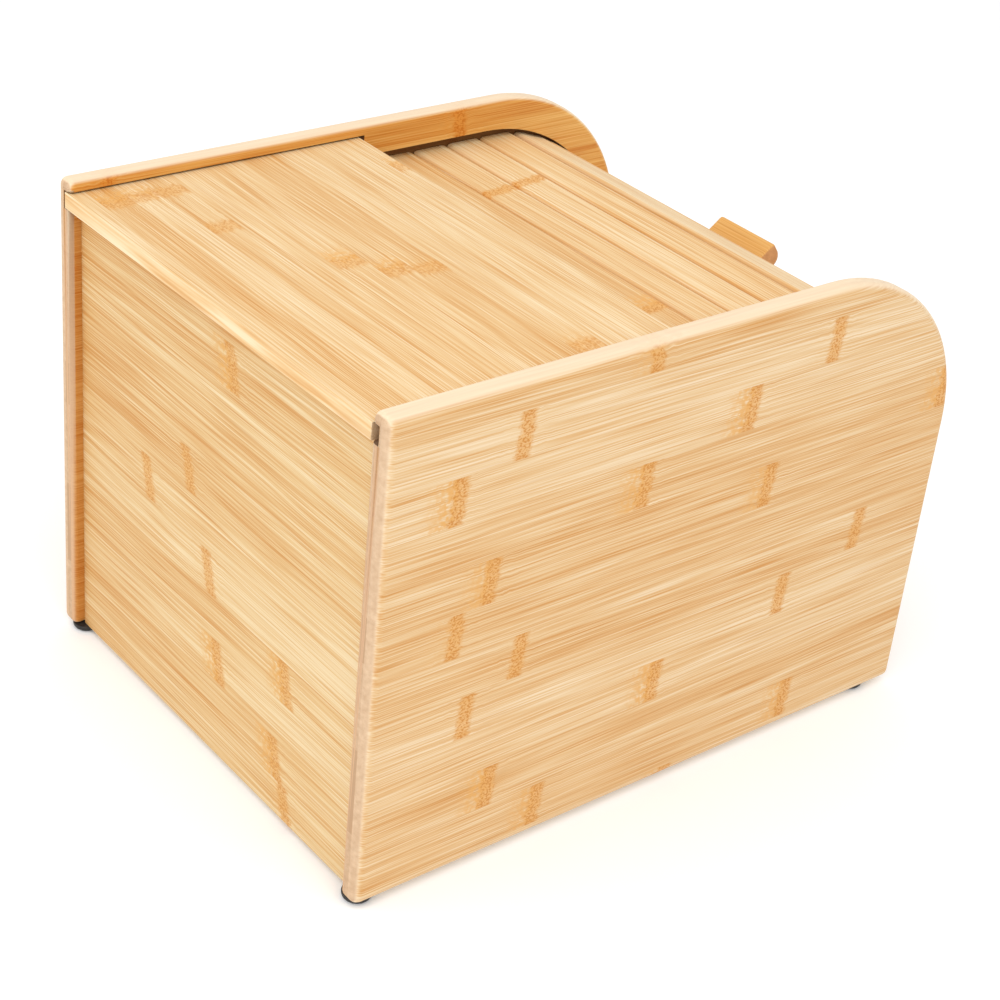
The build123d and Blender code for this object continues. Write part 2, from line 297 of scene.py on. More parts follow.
@dataclass(frozen=True)
class Bamboo:
    """Laminated bamboo: strips side by side, each with its own tone, grain and nodes.

    Lengths are in millimetres. Nodes are listed strip by strip, from the strip over the seam
    upwards, as none, one or two places along the grain.
    """

    name: str
    grain: Axis
    across: Axis
    through: Axis
    strip: float
    seam: float
    nodes: Strips
    tones: BambooTones = BambooTones()
    seed: float = 0.0
    lean: float = 0.0
    node_half: float = 3.4
    node_cover: float = 0.85
    band_cover: float = 0.75
    fuzz_cover: float = 0.9
    vein_cover: float = 0.32
    cut_cover: float = 0.85
    halo: float = 16.0
    strip_contrast: float = 0.2
    streak_contrast: float = 1.0
    seam_cover: float = 0.5
    seam_reach: float = 0.22
    rim_cover: float = 0.0
    # Painted shade: how fast the colour deepens along the grain, per millimetre.
    painted_shade_slope: float = 0.0
    split: float | None = None
    ply_shift: float = 0.17
    # Tint on the inner face: partly the inner ply's deeper tone, partly painted shade with warm bounce
    # light.
    inner_tone_and_shade: Colour = tone(255, 225, 162)
    # Painted shade on the inner face in the recess behind the back panel: its tint, where along the grain
    # it starts and how high it reaches.
    recess_shade_tint: Colour = tone(224, 206, 194)
    recess_from: float = 1000.0
    recess_top: float = 0.0
    board_attribute: bool = False
    reach: float = 200.0

    def build(self) -> bpy.types.Material:
        """Make the material."""
        material, graph, shader = new_finish(self.name)
        tones = self.tones
        spot = self._spot(graph)
        distance, behind = self._node_distance(graph, spot)
        grain = self._grain_place(graph, spot, distance)
        fine = graph.noise(grain, 2.2, 1.0)
        middle = graph.noise(grain, 0.55, 1.0)
        colour = self._streaks(graph, spot, grain, fine, middle)

        edge = graph.size(graph.centred(spot.share))
        to_seam = graph.times(graph.minus(0.5, edge), self.strip)
        seam = graph.times(graph.fade(to_seam, 0.03, self.seam_reach), spot.strength)
        colour = graph.mix(graph.times(seam, self.seam_cover), colour, tones.vein)
        colour = graph.mix(self._fuzz(graph, spot, behind), colour, tones.glow)
        band, flecks = self._flecks(graph, spot, distance, edge)
        colour = graph.mix(graph.times(band, self.band_cover * self.node_cover), colour, tones.glow)
        colour = graph.mix(graph.times(flecks, self.node_cover), colour, tones.node)
        end, colour = self._faces(graph, spot, colour)
        # Faces in the grooves and holes take the groove tone: partly raw cut wood, partly painted shade.
        cut = graph.add("ShaderNodeAttribute", attribute_name="cut").outputs["Fac"]
        colour = graph.mix(graph.times(cut, self.cut_cover), colour, tones.groove)

        rough = graph.times_plus(fine, 0.16, 0.36)
        rough = graph.times_plus(graph.math("MAXIMUM", end, cut), 0.24, rough)
        relief = graph.times_plus(middle, 0.6, fine)
        relief = graph.times_plus(flecks, -0.3, relief)
        relief = graph.times_plus(seam, -0.6, relief)
        relief = graph.times(relief, graph.minus(1.0, end))
        surface(graph, shader, colour, rough, graph.bump(relief, 0.22, 0.1 * MM))
        shader.inputs["Specular IOR Level"].default_value = 0.15
        return material

    def _spot(self, graph: Graph) -> Spot:
        """Read the place on the board, and draw the looks of the strip that it lies in."""
        if self.board_attribute:
            source = graph.add("ShaderNodeAttribute", attribute_name="board").outputs["Vector"]
            place = graph.scaled(source, 1 / MM)
        else:
            place = object_place(graph, 1 / MM)
        axes = graph.split(place)
        across = axes[self.across.value]
        count = graph.math("DIVIDE", graph.minus(across, self.seam), self.strip)
        number = graph.math("FLOOR", count)
        share = graph.minus(count, number)
        draw = graph.add("ShaderNodeTexWhiteNoise", noise_dimensions="1D")
        graph.feed(draw.inputs["W"], graph.plus(number, self.seed + 0.37))
        draws = graph.split(draw.outputs["Color"])
        return Spot(axes[self.grain.value], across, axes[self.through.value], number, share, *draws)

    def _node_distance(self, graph: Graph, spot: Spot) -> tuple[Socket, Socket]:
        """Give the distance along the grain to the nearest node, and the stir just past it."""
        rows = len(self.nodes)
        stops = []
        for row, places in enumerate(self.nodes):
            ends = (places[0], places[-1]) if places else (-self.reach, -self.reach)
            first, last = (end / self.reach / 2 + 0.5 for end in ends)
            stops.append((row / rows, (first, last, 0.0, 1.0)))
        if rows == 1:
            stops.append((1.0, stops[0][1]))
        read = graph.math("DIVIDE", graph.plus(spot.number, 0.5), float(rows))
        first, last, _ = graph.split(graph.ramp(read, stops, stepped=True))
        ragged = graph.noise(graph.combine(spot.share, spot.number, 0.0), 6.0, 3.0)
        here = graph.times_plus(graph.centred(spot.share), self.lean, spot.along)
        here = graph.times_plus(graph.centred(ragged), self.node_half * 2.4, here)
        distances = []
        stirred = []
        for place in (first, last):
            past = graph.minus(here, graph.times_plus(place, 2 * self.reach, -self.reach))
            distances.append(graph.size(past))
            stirred.append(graph.times(graph.step(past, 0.0, 2.0), graph.fade(past, 3.0, 17.0)))
        return graph.math("MINIMUM", *distances), graph.math("MAXIMUM", *stirred)

    def _grain_place(self, graph: Graph, spot: Spot, distance: Socket) -> Socket:
        """Give the place that streaks are read at: long along the grain, bent near nodes."""
        halo = graph.fade(distance, self.node_half, self.node_half + self.halo)
        far = graph.math("DIVIDE", spot.along, 90.0)
        slow = graph.noise(graph.combine(far, spot.number, self.seed), 1.0, 1.0)
        quick = graph.noise(graph.combine(spot.along, spot.across, spot.through), 0.2, 2.0)
        bent = graph.times_plus(graph.centred(slow), 1.2, spot.across)
        bent = graph.times_plus(spot.along, graph.times(graph.centred(spot.shift), 0.022), bent)
        bent = graph.times_plus(graph.times(graph.centred(quick), halo), 2.0, bent)
        lengthwise = graph.times_plus(spot.along, 0.009, graph.times(spot.shift, 90.0))
        return graph.combine(lengthwise, bent, graph.times(spot.through, 0.3))

    def _streaks(
        self, graph: Graph, spot: Spot, grain: Socket, fine: Socket, middle: Socket
    ) -> Socket:
        """Colour the strips, their streaks and their dark veins."""
        broad = graph.noise(grain, 0.12, 1.0)
        level = graph.times_plus(graph.centred(spot.shade), self.strip_contrast, 0.5)
        # Painted shade: the colour deepens steadily towards +X along the grain.
        level = graph.times_plus(spot.along, -self.painted_shade_slope, level)
        for streak, weight in ((fine, 1.45), (middle, 0.25), (broad, 0.45)):
            level = graph.times_plus(graph.centred(streak), weight * self.streak_contrast, level)
        tones = self.tones
        stops = [(0.12, tones.deep), (0.42, tones.base), (0.62, tones.light), (0.88, tones.pale)]
        colour = graph.ramp(level, stops)
        elsewhere = graph.vector("ADD", grain, (31.0, 7.0, 3.0))
        vein = graph.step(graph.noise(elsewhere, 1.6, 0.0), 0.64, 0.72)
        return graph.mix(graph.times(vein, self.vein_cover), colour, tones.vein)

    def _fuzz(self, graph: Graph, spot: Spot, behind: Socket) -> Socket:
        """Give the cover of the warm cloudy patch just past a node."""
        fuzz = graph.noise(graph.combine(spot.along, spot.across, spot.through), 0.5, 4.0)
        fuzz = graph.times(graph.step(fuzz, 0.36, 0.6), behind)
        return graph.times(graph.times(fuzz, graph.step(spot.shift, 0.2, 0.7)), self.fuzz_cover)

    def _flecks(
        self, graph: Graph, spot: Spot, distance: Socket, edge: Socket
    ) -> tuple[Socket, Socket]:
        """Give a node's band and the fine dark flecks in it."""
        band = graph.fade(distance, self.node_half * 0.5, self.node_half * 1.35)
        place = graph.combine(spot.along, graph.times(spot.across, 1.3), spot.through)
        speck = graph.step(graph.noise(place, 0.95, 3.0), 0.46, 0.6)
        cover = graph.plus(speck, graph.times(graph.step(edge, 0.32, 0.5), 0.3))
        return band, graph.times(band, graph.math("MINIMUM", cover, 1.0))

    def _faces(self, graph: Graph, spot: Spot, colour: Socket) -> tuple[Socket, Socket]:
        """Set the board's faces apart: plies, rounded rims that are paler partly as painted highlight, the
        recess behind the back panel in painted shade, and end grain.

        Returns:
            How far each spot is end grain, and the colour.
        """
        normal = graph.split(graph.add("ShaderNodeTexCoord").outputs["Normal"])
        facing = normal[self.through.value]
        inwards = graph.times(graph.times(graph.math("SIGN", spot.through), -1.0), facing)
        # Painted shade in the recess: the inner face behind the back panel, below its top edge.
        recess = graph.step(spot.along, self.recess_from - 0.2, self.recess_from + 0.2)
        recess = graph.times(recess, graph.step(inwards, 0.05, 0.2))
        below = graph.fade(spot.across, self.recess_top - 0.2, self.recess_top + 0.2)
        recess = graph.times(recess, below)
        if self.split is not None:
            colour = self._plies(graph, spot, inwards, recess, colour)
        # Paler rounded rims: partly the cut across the strips, partly painted highlight.
        rim = graph.times(graph.fade(graph.size(facing), 0.5, 0.96), self.rim_cover)
        colour = graph.mix(rim, colour, self.tones.rim)
        # The recess's painted shade: the colour multiplied by the recess tint.
        stain_and_shade = graph.mix(1.0, colour, self.recess_shade_tint, "MULTIPLY")
        end, colour = self._end_grain(graph, spot, normal[self.grain.value], colour)
        return end, graph.mix(recess, colour, stain_and_shade)

    def _plies(
        self, graph: Graph, spot: Spot, inwards: Socket, recess: Socket, colour: Socket
    ) -> Socket:
        """Tint the inner face, for the inner ply's deeper tone and partly as painted shade with warm bounce
        light, and draw the glue line between the two plies.
        """
        # The inner face and the recess take the tint: partly the inner ply's tone, partly painted shade.
        inner = graph.math("MAXIMUM", graph.step(inwards, 0.5, 0.97), recess)
        colour = graph.mix(inner, colour, self.inner_tone_and_shade, "MULTIPLY")
        off_line = graph.size(graph.minus(graph.size(spot.through), self.split))
        glue = graph.times(graph.fade(off_line, 0.04, 0.2), 0.3)
        return graph.mix(glue, colour, self.tones.end_dark)

    def _end_grain(
        self, graph: Graph, spot: Spot, facing: Socket, colour: Socket
    ) -> tuple[Socket, Socket]:
        """Lay the dotted end grain over the faces that cut across the grain.

        Returns:
            How far each spot is end grain, and the colour.
        """
        end = graph.step(graph.size(facing), 0.6, 0.85)
        section = graph.combine(spot.across, spot.through, 0.0)
        cells = graph.add("ShaderNodeTexVoronoi", {"Vector": section, "Scale": 1.15})
        dots = graph.fade(cells.outputs["Distance"], 0.12, 0.42)
        cloud = graph.noise(section, 0.35, 3.0)
        cover = graph.times(dots, 0.55)
        if self.split is not None:
            inner = graph.fade(graph.size(spot.through), self.split - 0.1, self.split + 0.1)
            number = graph.math("FLOOR", graph.times_plus(spot.across, 1 / self.strip, self.ply_shift))
            draw = graph.add("ShaderNodeTexWhiteNoise", {"W": number}, noise_dimensions="1D")
            stain_and_shade = graph.step(draw.outputs["Value"], 0.5, 1.0)
            cloud = graph.times_plus(inner, graph.times_plus(stain_and_shade, -0.6, -0.2), cloud)
            cover = graph.times(cover, graph.times_plus(inner, 0.7, 0.3))
        body = graph.mix(cloud, self.tones.end_dark, self.tones.end_pale)
        body = graph.mix(cover, body, self.tones.end_dark)
        return end, graph.mix(end, colour, graph.mix(0.8, colour, body))


@dataclass(frozen=True)
class PlainWood:
    """Pale turned wood with short fine grain, for dowels."""

    name: str
    pale: Colour = tone(232, 208, 172)
    dark: Colour = tone(196, 158, 112)
    stretch: tuple[float, float, float] = (0.1, 1.0, 1.0)

    def build(self) -> bpy.types.Material:
        """Make the material."""
        material, graph, shader = new_finish(self.name)
        place = graph.vector("MULTIPLY", object_place(graph, 1 / MM), self.stretch)
        grain = graph.noise(place, 1.3, 4.0)
        colour = graph.ramp(grain, [(0.35, self.dark), (0.65, self.pale)])
        rough = graph.times_plus(grain, 0.2, 0.5)
        surface(graph, shader, colour, rough, graph.bump(grain, 0.3, 0.1 * MM))
        return material


@dataclass(frozen=True)
class Rubber:
    """Black moulded rubber, slightly dusty."""

    name: str
    black: Colour = tone(24, 23, 23)
    dusty: Colour = tone(52, 49, 47)

    def build(self) -> bpy.types.Material:
        """Make the material."""
        material, graph, shader = new_finish(self.name)
        place = object_place(graph, 1 / MM)
        dust = graph.noise(place, 0.5, 5.0)
        grit = graph.noise(place, 4.0, 2.0)
        colour = graph.ramp(dust, [(0.4, self.black), (0.7, self.dusty)])
        rough = graph.times_plus(dust, 0.3, 0.45)
        surface(graph, shader, colour, rough, graph.bump(grit, 0.35, 0.06 * MM))
        return material


@dataclass(frozen=True)
class Steel:
    """Zinc-plated screw steel, faintly mottled and brushed."""

    name: str
    bright: Colour = tone(214, 213, 208)
    dull: Colour = tone(158, 157, 152)

    def build(self) -> bpy.types.Material:
        """Make the material."""
        material, graph, shader = new_finish(self.name)
        place = object_place(graph, 1 / MM)
        mottle = graph.noise(place, 1.2, 4.0)
        brush = graph.noise(graph.vector("MULTIPLY", place, (6.0, 0.6, 0.6)), 1.5, 3.0)
        colour = graph.ramp(mottle, [(0.35, self.dull), (0.65, self.bright)])
        rough = graph.times_plus(mottle, 0.25, 0.2)
        surface(graph, shader, colour, rough, graph.bump(brush, 0.2, 0.03 * MM))
        shader.inputs["Metallic"].default_value = 1.0
        return material


@dataclass(frozen=True)
class Canvas:
    """Plain-woven cotton, read from the strip's own UV map, whose unit is a metre."""

    name: str
    thread: float = 0.9 * MM
    pale: Colour = tone(232, 220, 196)
    dark: Colour = tone(188, 168, 134)

    def build(self) -> bpy.types.Material:
        """Make the material."""
        material, graph, shader = new_finish(self.name)
        cloth = graph.add("ShaderNodeUVMap", uv_map="cloth").outputs[0]
        wander = graph.noise(cloth, 900.0, 2.0)
        x, y, _ = graph.split(graph.scaled(cloth, pi / self.thread))
        x = graph.times_plus(wander, 0.8, x)
        y = graph.times_plus(wander, -0.8, y)
        warp = graph.size(graph.math("SINE", x))
        weft = graph.size(graph.math("SINE", y))
        over = graph.times(graph.math("COSINE", x), graph.math("COSINE", y))
        over = graph.step(over, -0.2, 0.2)
        warp_up = graph.times(over, warp)
        weft_up = graph.times(graph.minus(1.0, over), weft)
        height = graph.plus(warp_up, weft_up)
        slub = graph.noise(graph.vector("MULTIPLY", cloth, (300.0, 40.0, 1.0)), 1.0, 3.0)
        level = graph.times_plus(height, 0.6, graph.times_plus(slub, 0.5, -0.1))
        colour = graph.ramp(level, [(0.15, self.dark), (0.75, self.pale)])
        surface(graph, shader, colour, 0.9, graph.bump(height, 0.6, 0.15 * MM))
        shader.inputs["Sheen Weight"].default_value = 0.15
        return material


@dataclass(frozen=True)
class FloorPaint:
    """A plain pale studio floor."""

    name: str
    light: Colour = tone(252, 252, 252)
    faint: Colour = tone(249, 249, 249)

    def build(self) -> bpy.types.Material:
        """Make the material."""
        material, graph, shader = new_finish(self.name)
        cloud = graph.noise(object_place(graph, 1.0), 2.0, 2.0)
        graph.feed(shader.inputs["Base Color"], graph.ramp(cloud, [(0.3, self.faint), (0.7, self.light)]))
        shader.inputs["Roughness"].default_value = 0.9
        shader.inputs["Emission Color"].default_value = (1.0, 1.0, 1.0, 1.0)
        shader.inputs["Emission Strength"].default_value = 0.1
        return material


# ---------------------------------------------------------------- meshes


def new_piece(name: str, mesh: bpy.types.Mesh) -> bpy.types.Object:
    """Put a mesh in the scene as an object at the origin."""
    piece = bpy.data.objects.new(name, mesh)
    bpy.context.scene.collection.objects.link(piece)
    return piece


def piece_from(work: bmesh.types.BMesh, name: str) -> bpy.types.Object:
    """Turn a bmesh into a piece with all its faces outwards.

    Args:
        work: the bmesh, which is freed.
        name: the piece's name.

    Returns:
        The new piece.
    """
    bmesh.ops.recalc_face_normals(work, faces=work.faces)
    mesh = bpy.data.meshes.new(name)
    work.to_mesh(mesh)
    work.free()
    return new_piece(name, mesh)


def freeze(piece: bpy.types.Object) -> None:
    """Turn a piece's modifiers into plain mesh."""
    graph = bpy.context.evaluated_depsgraph_get()
    solid = piece.evaluated_get(graph)
    mesh = bpy.data.meshes.new_from_object(solid, preserve_all_data_layers=True, depsgraph=graph)
    old = piece.data
    piece.modifiers.clear()
    piece.data = mesh
    bpy.data.meshes.remove(old)
    mesh.name = piece.name


def shade(piece: bpy.types.Object, angle: float = SHARP) -> None:
    """Smooth the curved faces and keep the flat ones flat."""
    for polygon in piece.data.polygons:
        polygon.use_smooth = True
    piece.data.set_sharp_from_angle(angle=angle)
    weighted = piece.modifiers.new("flats", "WEIGHTED_NORMAL")
    weighted.keep_sharp = True
    freeze(piece)


def dress(piece: bpy.types.Object, material: bpy.types.Material, body: str) -> None:
    """Give a piece its finish and the body it rides on."""
    paint(piece, material)
    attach(piece, body)
    log.info("%s: %d faces", piece.name, len(piece.data.polygons))


def paint(piece: bpy.types.Object, material: bpy.types.Material) -> None:
    """Give a piece one finish in place of any that it has."""
    piece.data.materials.clear()
    piece.data.materials.append(material)


def cut_away(piece: bpy.types.Object, cutter: bpy.types.Object) -> None:
    """Take one piece's shape out of another, and remove the cutter."""
    bite = piece.modifiers.new("bite", "BOOLEAN")
    bite.operation = "DIFFERENCE"
    bite.solver = "EXACT"
    bite.object = cutter
    freeze(piece)
    discard(cutter)


def discard(piece: bpy.types.Object) -> None:
    """Remove a helper object and its mesh."""
    mesh = piece.data
    bpy.data.objects.remove(piece)
    bpy.data.meshes.remove(mesh)


def turned(
    name: str, levels: Levels, segments: int = 48, shape: Callable[[float], float] | None = None
) -> bpy.types.Object:
    """Make a closed piece of stacked rings round +Z.

    Args:
        name: the piece's name.
        levels: height and radius of each ring, in order round the outline.
        segments: points in a ring.
        shape: the factor on the radius at an angle, for flutes and lobes.

    Returns:
        The piece.
    """
    work = bmesh.new()
    rings = []
    for height, radius in levels:
        ring = []
        for i in range(segments):
            turn = 2 * pi * i / segments
            reach = radius * (shape(turn) if shape else 1.0)
            ring.append(work.verts.new((reach * cos(turn), reach * sin(turn), height)))
        rings.append(ring)
    for lower, upper in zip(rings, rings[1:]):
        for i in range(segments):
            j = (i + 1) % segments
            work.faces.new((lower[i], lower[j], upper[j], upper[i]))
    work.faces.new(rings[0])
    work.faces.new(rings[-1])
    return piece_from(work, name)


def eased_copy(
    node: str, name: str, ease: float, chosen: Callable[[bmesh.types.BMEdge], bool]
) -> bpy.types.Object:
    """Copy a node's mesh, merge its triangles and ease some of its sharp edges.

    Args:
        node: the node to copy.
        name: the new piece's name.
        ease: size of the eased corner.
        chosen: says which sharp edges are eased.

    Returns:
        The piece, which replaces the node.
    """
    work = bmesh.new()
    work.from_mesh(frame["nodes"][node].data)
    bmesh.ops.remove_doubles(work, verts=work.verts, dist=2e-6)
    bmesh.ops.dissolve_limit(work, angle_limit=radians(0.3), verts=work.verts, edges=work.edges)
    edges = []
    for edge in work.edges:
        sharp = len(edge.link_faces) == 2 and edge.calc_face_angle() > radians(50)
        if sharp and chosen(edge):
            edges.append(edge)
    bmesh.ops.bevel(
        work, geom=edges, offset=ease, segments=3, profile=0.5, affect="EDGES", clamp_overlap=False
    )
    piece = piece_from(work, name)
    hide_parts(node)
    return piece


def mark_faces(piece: bpy.types.Object, name: str, value: Callable[[Vector], float]) -> None:
    """Store a number on each face, worked out from the face's middle."""
    layer = piece.data.attributes.new(name, "FLOAT", "FACE")
    for polygon in piece.data.polygons:
        layer.data[polygon.index].value = value(polygon.center)


# ---------------------------------------------------------------- geometry trees


def new_tree(
    name: str, inputs: dict[str, str]
) -> tuple[bpy.types.NodeTree, Graph, dict[str, Socket]]:
    """Start a geometry tree.

    Args:
        name: the tree's name.
        inputs: each input's name and the kind of its socket.

    Returns:
        The tree, its graph and its inputs' sockets by name.
    """
    tree = bpy.data.node_groups.new(name, "GeometryNodeTree")
    tree.interface.new_socket(name="Geometry", in_out="OUTPUT", socket_type="NodeSocketGeometry")
    for label, kind in inputs.items():
        tree.interface.new_socket(name=label, in_out="INPUT", socket_type="NodeSocket" + kind)
    graph = Graph(tree)
    source = graph.add("NodeGroupInput")
    return tree, graph, {label: source.outputs[label] for label in inputs}


def end_tree(graph: Graph, geometry: Socket, finish: Socket) -> None:
    """End a geometry tree with its finish."""
    dressed = graph.add("GeometryNodeSetMaterial", {"Geometry": geometry, "Material": finish})
    graph.add("NodeGroupOutput", {"Geometry": dressed.outputs[0]})


def stored(
    graph: Graph, geometry: Socket, name: str, value: Feed,
    kind: str = "FLOAT_VECTOR", domain: str = "POINT",
) -> Socket:
    """Store a value on a geometry under a name."""
    feeds = {"Geometry": geometry, "Name": name, "Value": value}
    node = graph.add("GeometryNodeStoreNamedAttribute", feeds, data_type=kind, domain=domain)
    return node.outputs[0]


def grown(tree: bpy.types.NodeTree, name: str, settings: dict[str, object]) -> bpy.types.Object:
    """Run a geometry tree and keep the plain mesh it makes.

    Args:
        tree: the tree.
        name: the new piece's name.
        settings: a value for each of the tree's inputs, by name.

    Returns:
        The piece, with no modifier left.
    """
    piece = new_piece(name, bpy.data.meshes.new(name))
    modifier = piece.modifiers.new("grow", "NODES")
    modifier.node_group = tree
    for item in tree.interface.items_tree:
        if item.in_out == "INPUT":
            modifier[item.identifier] = settings[item.name]
    freeze(piece)
    return piece


def slat_run_tree() -> bpy.types.NodeTree:
    """Build the tree that lays a run of slats along a line or round a bend."""
    tree, graph, ask = new_tree(
        "slat_run",
        {
            "Count": "Int",
            "First": "Int",
            "Pitch": "Float",
            "Width": "Float",
            "Thickness": "Float",
            "Length": "Float",
            "Rounding": "Float",
            "Easing": "Float",
            "Centre": "Vector",
            "Radius": "Float",
            "Angle": "Float",
            "Turn": "Float",
            "Advance": "Vector",
            "Wobble": "Float",
            "Seed": "Float",
            "Finish": "Material",
        },
    )
    slat = _slat_shape(graph, ask)
    index = graph.add("GeometryNodeInputIndex").outputs[0]
    number = graph.plus(index, ask["First"])
    draw = graph.add("ShaderNodeTexWhiteNoise", noise_dimensions="1D")
    graph.feed(draw.inputs["W"], graph.plus(number, ask["Seed"]))
    stray = graph.times(graph.minus(draw.outputs["Value"], 1.0), ask["Wobble"])
    angle = graph.times_plus(index, ask["Turn"], ask["Angle"])
    reach = graph.plus(ask["Radius"], stray)
    sine = graph.times(graph.math("SINE", angle), -1.0)
    outwards = graph.combine(0.0, sine, graph.math("COSINE", angle))
    place = graph.vector("ADD", ask["Centre"], graph.scaled(outwards, reach))
    place = graph.vector("ADD", place, graph.scaled(ask["Advance"], index))
    points = graph.add("GeometryNodePoints", {"Count": ask["Count"], "Position": place})
    feeds = {
        "Points": points.outputs[0],
        "Instance": slat,
        "Rotation": graph.combine(angle, 0.0, 0.0),
    }
    slats = graph.add("GeometryNodeInstanceOnPoints", feeds).outputs[0]
    end_tree(graph, _with_board_places(graph, ask, slats, number), ask["Finish"])
    return tree


def _with_board_places(
    graph: Graph, ask: dict[str, Socket], slats: Socket, number: Socket
) -> Socket:
    """Make the slats real, with their places as if they lay side by side in one board."""
    slats = stored(graph, slats, "slat", number, "FLOAT", "INSTANCE")
    solid = graph.add("GeometryNodeRealizeInstances", {"Geometry": slats}).outputs[0]
    local = graph.add("GeometryNodeInputNamedAttribute", {"Name": "board"}, data_type="FLOAT_VECTOR")
    which = graph.add("GeometryNodeInputNamedAttribute", {"Name": "slat"}, data_type="FLOAT")
    step = graph.times(which.outputs[0], ask["Pitch"])
    board = graph.vector("ADD", local.outputs[0], graph.combine(0.0, step, 0.0))
    return stored(graph, solid, "board", board)


def _slat_shape(graph: Graph, ask: dict[str, Socket]) -> Socket:
    """Make one slat: grain along X, width along Y, inner side at Z 0."""
    feeds = {"Width": ask["Width"], "Height": ask["Thickness"]}
    outline = graph.add("GeometryNodeCurvePrimitiveQuadrilateral", feeds, mode="RECTANGLE").outputs[0]
    height = graph.split(graph.add("GeometryNodeInputPosition").outputs[0])[1]
    outer = graph.math("GREATER_THAN", height, 0.0)
    extra = graph.minus(ask["Rounding"], ask["Easing"])
    feeds = {"Curve": outline, "Radius": graph.times_plus(outer, extra, ask["Easing"]), "Count": 7}
    outline = graph.add("GeometryNodeFilletCurve", feeds, mode="POLY").outputs[0]
    face = graph.add("GeometryNodeFillCurve", {"Curve": outline}, mode="NGONS").outputs[0]
    long_way = graph.combine(0.0, 0.0, ask["Length"])
    bar = graph.add("GeometryNodeExtrudeMesh", {"Mesh": face, "Offset": long_way}, mode="FACES")
    foot = graph.add("GeometryNodeFlipFaces", {"Mesh": face}).outputs[0]
    closed = graph.add("GeometryNodeJoinGeometry", {0: bar.outputs[0]})
    graph.feed(closed.inputs[0], foot)
    merged = graph.add("GeometryNodeMergeByDistance", {"Geometry": closed.outputs[0], "Distance": 1e-6})
    down = graph.times(ask["Thickness"], -1.0)
    middle = graph.scaled(graph.combine(ask["Length"], 0.0, down), -0.5)
    feeds = {"Geometry": merged.outputs[0], "Translation": middle, "Rotation": (pi / 2, 0.0, pi / 2)}
    laid = graph.add("GeometryNodeTransform", feeds).outputs[0]
    place = graph.add("GeometryNodeInputPosition").outputs[0]
    return stored(graph, laid, "board", place)


def row_tree() -> bpy.types.NodeTree:
    """Build the tree that sets copies of one shape in an even row."""
    tree, graph, ask = new_tree(
        "row",
        {
            "Shape": "Object",
            "Count": "Int",
            "Start": "Vector",
            "Step": "Vector",
            "Turn": "Vector",
            "Finish": "Material",
        },
    )
    shape = graph.add("GeometryNodeObjectInfo", {"Object": ask["Shape"]}).outputs["Geometry"]
    feeds = {"Count": ask["Count"], "Start Location": ask["Start"], "Offset": ask["Step"]}
    line = graph.add("GeometryNodeMeshLine", feeds, mode="OFFSET").outputs[0]
    feeds = {"Points": line, "Instance": shape, "Rotation": ask["Turn"]}
    copies = graph.add("GeometryNodeInstanceOnPoints", feeds).outputs[0]
    solid = graph.add("GeometryNodeRealizeInstances", {"Geometry": copies}).outputs[0]
    end_tree(graph, solid, ask["Finish"])
    return tree


# ---------------------------------------------------------------- the box


